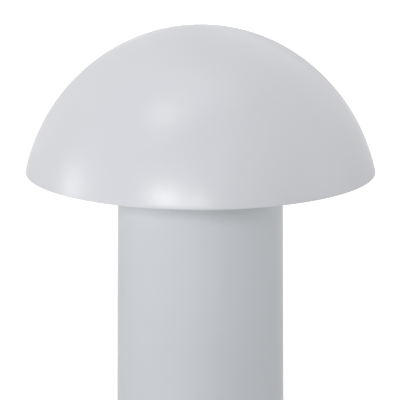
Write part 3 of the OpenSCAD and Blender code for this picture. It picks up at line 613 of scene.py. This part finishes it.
def board(name, mask, over_copper, plane):
    """Solder mask over a copper layout. plane turns the pattern into the board's plane."""
    material, tree, bsdf = start_material(name, IOR=MASK_IOR, Roughness=MASK_ROUGHNESS)
    where = add_node(tree, "ShaderNodeTexCoord").outputs["Object"]
    flat = add_node(tree, "ShaderNodeMapping", {"Vector": where, "Rotation": plane}).outputs[0]
    layout = add_node(tree, "ShaderNodeTexBrick",
                      {"Vector": flat, "Scale": 1.0, "Color1": (*over_copper, 1),
                       "Color2": (*toned(over_copper, FIELD_TONE), 1), "Mortar": (*mask, 1),
                       "Mortar Size": FIELD_GAP, "Mortar Smooth": FIELD_EDGE,
                       "Brick Width": FIELD_W, "Row Height": FIELD_H},
                      offset=ROW_SHIFT, squash=NARROW_ROW, squash_frequency=NARROW_EVERY)
    foil = add_node(tree, "ShaderNodeMath", {0: 1.0, 1: layout.outputs["Fac"]},
                    operation="SUBTRACT").outputs[0]
    link(tree, bsdf, Base_Color=layout.outputs["Color"],
         Normal=bump(tree, foil, FOIL_STRENGTH, FOIL_T))
    return material


# name: colour of the mask, the same over copper, the board's plane
mix(board, {
    "circuit_board": ((0.010, 0.085, 0.032), (0.022, 0.150, 0.055), UPRIGHT),
    "led_board_white": ((0.78, 0.78, 0.76), (0.84, 0.84, 0.82), LYING),
})

# %% [markdown]
# Phosphor and light pipe
#
# The light chips are filled with yellow phosphor in clear silicone, and a light pipe of frosted
# acrylic leads the charge light to the stem's back. Both are so small that a full glass with
# bubbles and grains inside would be lost on them. Grain in the colour and a fine bump are enough.

# %% Phosphor and light pipe
PHOSPHOR_PER_M = 5200
PHOSPHOR_STRENGTH, PHOSPHOR_DEPTH = 0.4, 0.01 * MM
FROST_PER_M = 9000
FROST_ROUGHNESS = (0.32, 0.40)
FROST_STRENGTH, FROST_DEPTH = 0.2, 0.003 * MM


def phosphor(name, dark, light):
    """Grainy phosphor in clear silicone."""
    material, tree, bsdf = start_material(name, Roughness=0.25, IOR=1.41, Coat_Weight=0.4)
    grain = object_noise(tree, PHOSPHOR_PER_M, detail=3)
    link(tree, bsdf, Base_Color=tint(tree, grain, dark, light),
         Normal=bump(tree, grain, PHOSPHOR_STRENGTH, PHOSPHOR_DEPTH))
    return material


def frosted_pipe(name, dark, light):
    """Milky acrylic with a fine frost."""
    material, tree, bsdf = start_material(name, IOR=1.49, Transmission_Weight=0.35)
    frost = object_noise(tree, FROST_PER_M)
    link(tree, bsdf, Base_Color=tint(tree, frost, dark, light),
         Roughness=spread(tree, frost, *FROST_ROUGHNESS),
         Normal=bump(tree, frost, FROST_STRENGTH, FROST_DEPTH))
    return material


mix(phosphor, {"led_phosphor": ((0.80, 0.52, 0.06), (0.90, 0.66, 0.14))})
mix(frosted_pipe, {"clear_pipe": ((0.82, 0.85, 0.86), (0.86, 0.89, 0.90))})

# %% [markdown]
# Shrink film
#
# The battery cells wear a thin glossy film that was shrunk on with hot air. Its wrinkles could be
# modelled, but they are no deeper than a hair is thick. Noise that is squeezed along the cell puts
# them across it, where the film was pulled tight.

# %% Shrink film
WRINKLES_PER_M = 160
WRINKLE_STRETCH = (1, 1, 3.5)
WRINKLE_STRENGTH, WRINKLE_DEPTH = 0.35, 0.05 * MM
FILM_DARK, FILM_LIGHT = 0.88, 1.10
FILM_ROUGHNESS = (0.20, 0.32)


def shrink_film(name, colour):
    """Glossy film, pulled tight along the cell, with faint wrinkles across it."""
    material, tree, bsdf = start_material(name, IOR=1.52, Coat_Weight=0.3, Coat_Roughness=0.12)
    wrinkle = object_noise(tree, WRINKLES_PER_M, detail=3, stretch=WRINKLE_STRETCH)
    link(tree, bsdf,
         Base_Color=tint(tree, wrinkle, toned(colour, FILM_DARK), toned(colour, FILM_LIGHT)),
         Roughness=spread(tree, wrinkle, *FILM_ROUGHNESS),
         Normal=bump(tree, wrinkle, WRINKLE_STRENGTH, WRINKLE_DEPTH))
    return material


mix(shrink_film, {"cell_wrap": ((0.020, 0.085, 0.300),)})

# %% [markdown]
# Finishes on the CAD pieces
#
# Most pieces of a real lamp are right as they leave the tool, and so are most CAD pieces here.
# They only need their finish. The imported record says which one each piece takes, so they are
# dressed from that list rather than one by one, and nothing is missed.

# %% Dress the CAD pieces
for part in frame["record"]["subparts"]:
    nodes[part["node"]].material_slots[0].material = finishes[part["material_slot"]]

# %% [markdown]
# Drawing a profile
#
# A turned piece starts as half of its outline. That could be typed in as a list of points, but a
# list hides what is an arc and what is straight. Two helpers draw it as a pen would: one swings a
# vertex about a centre, and one draws a straight line to a place.

# %% Drawing helpers
def swing(bm, vert, centre, degrees, steps, axis=(0, 1, 0)):
    """Draws an arc from vert about a centre and returns its last vertex."""
    made = bmesh.ops.spin(bm, geom=[vert], cent=centre, axis=axis, dvec=(0, 0, 0),
                          angle=math.radians(degrees), steps=steps, use_merge=False,
                          use_normal_flip=False, use_duplicate=False)
    return [item for item in made["geom_last"] if isinstance(item, bmesh.types.BMVert)][0]


def step_to(bm, vert, *place, steps=1):
    """Draws a straight line from vert to a place, in equal steps, and returns its end."""
    stride = (Vector(place) - vert.co) / steps
    for _ in range(steps):
        vert = bmesh.ops.extrude_vert_indiv(bm, verts=[vert])["verts"][0]
        vert.co += stride
    return vert


print("drawing helpers ready")

# %% [markdown]
# Turning and rounding
#
# The outline is then spun round its axis, as on a lathe. A modifier could do that too. The
# operator gives a closed mesh at once, so that a bevel can round its edges straight after it, as
# a file rounds a turned rim.

# %% Turning helpers
TURN_STEPS = 192
MICRON = 0.001 * MM


def turn_round(bm, centre=(0, 0, 0), axis=(0, 0, 1), steps=TURN_STEPS):
    """Spins the whole line round an axis, closes its poles and points the faces outwards."""
    bmesh.ops.spin(bm, geom=bm.verts[:] + bm.edges[:], cent=centre, axis=axis,
                   dvec=(0, 0, 0), angle=2 * math.pi, steps=steps, use_merge=True,
                   use_normal_flip=False, use_duplicate=False)
    bmesh.ops.remove_doubles(bm, verts=bm.verts, dist=MICRON)
    bmesh.ops.recalc_face_normals(bm, faces=bm.faces)


def round_edges(bm, edges, radius, segments=4):
    """Rounds the given edges with a bevel."""
    bmesh.ops.bevel(bm, geom=edges, offset=radius, offset_type="OFFSET", segments=segments,
                    profile=0.5, affect="EDGES", material=-1, clamp_overlap=True)


print("turned pieces have", TURN_STEPS, "steps")

# %% [markdown]
# From mesh to piece
#
# Every new piece ends in the same way: smooth faces with the true edges kept sharp, its finish,
# the body that it moves with, and the CAD nodes that it stands for. That could be written out
# each time. One helper does it for all, so nothing is forgotten.

# %% New piece
SHARP_DEG = 40


def new_piece(name, bm, body, material_slot, *replaced):
    """Makes the bmesh an object with its finish, and puts it in place of CAD nodes."""
    mesh = bpy.data.meshes.new(name)
    bm.to_mesh(mesh)
    bm.free()
    mesh.shade_smooth()
    mesh.set_sharp_from_angle(angle=math.radians(SHARP_DEG))
    mesh.materials.append(finishes[material_slot])
    piece = bpy.data.objects.new(name, mesh)
    scene.collection.objects.link(piece)
    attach(piece, body)
    if replaced:
        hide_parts(*replaced)
    print(name, len(mesh.polygons), "faces")
    return piece


print("edges over", SHARP_DEG, "degrees stay sharp")

# %% [markdown]
# The shade
#
# The real shade is a thin moulded dome with a softly rounded rim. The CAD solid has the same
# curve, cut into small triangles that a gloss would show. A squashed sphere would be quick and
# wrong, because highlights bend another way on it. So one vertex is spun along the two arcs, over
# the rim and back up the inside, and that line is spun round the axis. It keeps the highlights
# even.

# %% The shade's rim
LIP_OUT_R = 0.15 * MM
LIP_IN_R = 0.6 * MM


def shoulder_angle(inset):
    """The angle from the shoulder's start to the rim, for a surface taken in by inset."""
    drop = (RIM_Z - shoulder_centre.z) / (shoulder_r - inset)
    return math.degrees(math.acos(drop)) - CROWN_DEG


def rim_edges(bm, radius):
    """The edges of the ring at the rim's height that has this radius."""
    corner = Vector((radius, RIM_Z))
    return [edge for edge in bm.edges
            if all((Vector((vert.co.xy.length, vert.co.z)) - corner).length < MICRON
                   for vert in edge.verts)]


inner_angle = shoulder_angle(SHADE_WALL)
reach = math.radians(CROWN_DEG + inner_angle)
inner_x = shoulder_centre.x + (shoulder_r - SHADE_WALL) * math.sin(reach)
print(f"the rim runs from {inner_x / MM:.1f} to {SHADE_R / MM:.1f} mm")

# %% Shade
CROWN_STEPS, SHOULDER_STEPS = 26, 32

bm = bmesh.new()
tip = bm.verts.new((0, 0, LAMP_H))
tip = swing(bm, tip, crown_centre, CROWN_DEG, CROWN_STEPS)
tip = swing(bm, tip, shoulder_centre, shoulder_angle(0), SHOULDER_STEPS)
tip = step_to(bm, tip, inner_x, 0, RIM_Z)
tip = swing(bm, tip, shoulder_centre, -inner_angle, SHOULDER_STEPS)
swing(bm, tip, crown_centre, -CROWN_DEG, CROWN_STEPS)
turn_round(bm)
for radius, rounding in ((SHADE_R, LIP_OUT_R), (inner_x, LIP_IN_R)):
    round_edges(bm, rim_edges(bm, radius), rounding)
new_piece("shade_shell", bm, "lamp", "shade_paint", "shade")

# %% [markdown]
# The stem's curve
#
# The button sits flush in the curved back of the stem, so its face has to follow the same curve.
# That could be read from the CAD mesh by casting rays at it. The stem is a plain cone, though, and
# a short formula gives the same place exactly. Where a dish is sunk into the curve, a soft minimum
# rounds the ridge between them.

# %% The stem's curve
STEM_R = 38.5 * MM
STEM_DRAFT = math.tan(math.radians(0.3))
BUTTON_Z = 47.7 * MM


def stem_back(x, z):
    """How far back the stem's surface lies at the given side and height."""
    return math.sqrt((STEM_R - z * STEM_DRAFT) ** 2 - x * x)


def soft_min(first, second, blend):
    """The smaller of two numbers, with the corner between them rounded over a blend."""
    near = max(blend - abs(first - second), 0) / blend
    return min(first, second) - near * near * blend / 4


print(f"the stem's back at the button is at {stem_back(0, BUTTON_Z) / MM:.2f} mm")

# %% [markdown]
# The button cap
#
# The button is pushed with a fingertip, so its face has a shallow dish in it. It could be cut
# from a cylinder with booleans, as in the CAD source, which leaves a knife edge round the dish.
# So the cap is turned about its own axis as a flat disc on a flange and a post, and then the
# vertices of its face move onto the curve and the dish. Its flange lies against the seal inside.

# %% The button's face
BUTTON_R = 6 * MM
BUTTON_PROUD = 0.3 * MM
BUTTON_EDGE = 0.4 * MM
DISH_R = 34 * MM
DISH_DEPTH = 0.35 * MM
DISH_BLEND = 0.12 * MM
face_y = stem_back(0, BUTTON_Z) + BUTTON_PROUD


def button_face(x, z):
    """The cap's face: the stem's curve, standing proud, with the dish sunk into it."""
    skin = stem_back(x, z) + BUTTON_PROUD
    reach = x * x + (z - BUTTON_Z) ** 2
    dish = face_y - DISH_DEPTH + DISH_R - math.sqrt(DISH_R ** 2 - reach)
    return soft_min(skin, dish, DISH_BLEND)


print(f"the dish is {(face_y - button_face(0, BUTTON_Z)) / MM:.2f} mm deep")

# %% Button cap
FLANGE_T = 1.4 * MM
POST_R = 2.2 * MM
FACE_STEPS, EDGE_STEPS, CAP_STEPS = 28, 6, 96

cap_low, cap_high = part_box("button_cap")
flange_r, post_y = cap_high[0], cap_low[1]
seat_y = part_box("button_seal")[0][1]

bm = bmesh.new()
tip = bm.verts.new((0, face_y, BUTTON_Z))
tip = step_to(bm, tip, BUTTON_R - BUTTON_EDGE, face_y, BUTTON_Z, steps=FACE_STEPS)
tip = swing(bm, tip, (BUTTON_R - BUTTON_EDGE, face_y - BUTTON_EDGE, BUTTON_Z), -90, EDGE_STEPS,
            (0, 0, 1))
for x, y in ((BUTTON_R, seat_y), (flange_r, seat_y), (flange_r, seat_y - FLANGE_T),
             (POST_R, seat_y - FLANGE_T), (POST_R, post_y), (0, post_y)):
    tip = step_to(bm, tip, x, y, BUTTON_Z)
turn_round(bm, (0, 0, BUTTON_Z), (0, 1, 0), CAP_STEPS)
for vert in bm.verts:
    if vert.co.y > face_y - BUTTON_EDGE - MICRON:
        vert.co.y += button_face(vert.co.x, vert.co.z) - face_y
new_piece("button_turned", bm, "button", "button_paint", "button_cap")

# %% [markdown]
# The button's sign
#
# The sign is the plain on and off sign that any appliance has. It could be printed on the cap as
# a pattern in its paint. It is a soft dark insert instead that stands up a little, so it is felt
# as well as seen: a small bar, and a section swung most of the way round it. Both then follow the
# dish.

# %% Button sign
SIGN_R = 1.7 * MM
SIGN_STROKE = 0.5 * MM
SIGN_BAR = 1.9 * MM
SIGN_RISE = 0.08 * MM
SIGN_GAP = 70
SIGN_STEPS = 40

bm = bmesh.new()
# A unit square becomes the stroke's section, set across the ring at one end of its gap
made = bmesh.ops.create_grid(bm, x_segments=1, y_segments=1, size=0.5)
half_gap = math.radians(SIGN_GAP / 2)
section = (Matrix.Translation((0, 0, BUTTON_Z)) @ Matrix.Rotation(half_gap, 4, "Y")
           @ Matrix.Translation((0, 0, SIGN_R)) @ Matrix.Rotation(math.radians(90), 4, "Y")
           @ Matrix.Diagonal((SIGN_STROKE, 2 * SIGN_RISE, 1, 1)))
bmesh.ops.transform(bm, matrix=section, verts=made["verts"])
bmesh.ops.spin(bm, geom=bm.faces[:], cent=(0, 0, BUTTON_Z), axis=(0, 1, 0), dvec=(0, 0, 0),
               angle=math.radians(360 - SIGN_GAP), steps=SIGN_STEPS, use_merge=False,
               use_normal_flip=False, use_duplicate=False)
bar = bmesh.ops.create_cube(bm, size=1)
bmesh.ops.scale(bm, vec=(SIGN_STROKE, 2 * SIGN_RISE, SIGN_BAR), verts=bar["verts"])
bmesh.ops.translate(bm, vec=(0, 0, BUTTON_Z + SIGN_R + SIGN_STROKE / 2 - SIGN_BAR / 2),
                    verts=bar["verts"])
bmesh.ops.recalc_face_normals(bm, faces=bm.faces)
for vert in bm.verts:
    vert.co.y += button_face(vert.co.x, vert.co.z)
new_piece("button_sign", bm, "button", "foot_rubber")

# %% [markdown]
# The port cover
#
# The port cover is moulded silicone, which never has a sharp edge. Bevelling its many edges one
# by one would be a long job. The CAD solid has the right form with sharp edges, so a copy of it
# is wrapped in a fine even mesh and smoothed a little, which rounds every edge at once and keeps
# the thumb notch and the hinge.

# %% Port cover
COVER_CELL = 0.1 * MM
COVER_SMOOTHING = 0.5
COVER_ROUNDS = 14
WELD = MICRON / 10


def softened_copy(name, node_name, body, material_slot):
    """A copy of a CAD piece with every edge rounded by an even mesh and some smoothing."""
    bm = bmesh.new()
    bm.from_mesh(nodes[node_name].data)
    bmesh.ops.remove_doubles(bm, verts=bm.verts, dist=WELD)
    piece = new_piece(name, bm, body, material_slot, node_name)
    wrap = piece.modifiers.new("wrap", "REMESH")
    wrap.mode = "VOXEL"
    wrap.voxel_size = COVER_CELL
    wrap.use_smooth_shade = True
    soften = piece.modifiers.new("soften", "SMOOTH")
    soften.factor = COVER_SMOOTHING
    soften.iterations = COVER_ROUNDS
    done = piece.evaluated_get(bpy.context.evaluated_depsgraph_get())
    mesh = bpy.data.meshes.new_from_object(done)
    piece.modifiers.clear()
    piece.data = mesh
    print(name, "now has", len(mesh.polygons), "faces")


softened_copy("port_cover_soft", "port_cover", "port_flap", "cover_silicone")

# %% [markdown]
# The foot ring
#
# The lamp stands on a ring of silicone pressed into the base. Its lower edges are rounded, and
# three fine grooves run round underneath, so that it doesn't stick to the table like a sucker.
# The grooves could be a bump in the finish, but a bump leaves the outline flat. They are drawn
# into the profile, and the ring is turned like the shade.

# %% Foot ring
FOOT_W = 4 * MM
FOOT_ROUND = 0.5 * MM
FOOT_ROUND_STEPS = 5
GROOVES = 3
GROOVE_W, GROOVE_DEPTH = 0.5 * MM, 0.25 * MM
GROOVE_SHAPE = ((-0.5, 0), (-0.25, 1), (0.25, 1), (0.5, 0))

foot_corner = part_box("foot_ring")[1]
foot_out, foot_top = foot_corner[0], foot_corner[2]
foot_in = foot_out - FOOT_W

bm = bmesh.new()
first = bm.verts.new((foot_in, 0, foot_top))
tip = step_to(bm, first, foot_in, 0, FOOT_ROUND)
tip = swing(bm, tip, (foot_in + FOOT_ROUND, 0, FOOT_ROUND), -90, FOOT_ROUND_STEPS)
for groove in range(1, GROOVES + 1):
    middle = foot_in + (foot_out - foot_in) * groove / (GROOVES + 1)
    for x, z in GROOVE_SHAPE:
        tip = step_to(bm, tip, middle + x * GROOVE_W, 0, z * GROOVE_DEPTH)
tip = step_to(bm, tip, foot_out - FOOT_ROUND, 0, 0)
tip = swing(bm, tip, (foot_out - FOOT_ROUND, 0, FOOT_ROUND), -90, FOOT_ROUND_STEPS)
tip = step_to(bm, tip, foot_out, 0, foot_top)
bm.edges.new((tip, first))
turn_round(bm)
new_piece("foot_ring_grooved", bm, "lamp", "foot_rubber", "foot_ring")
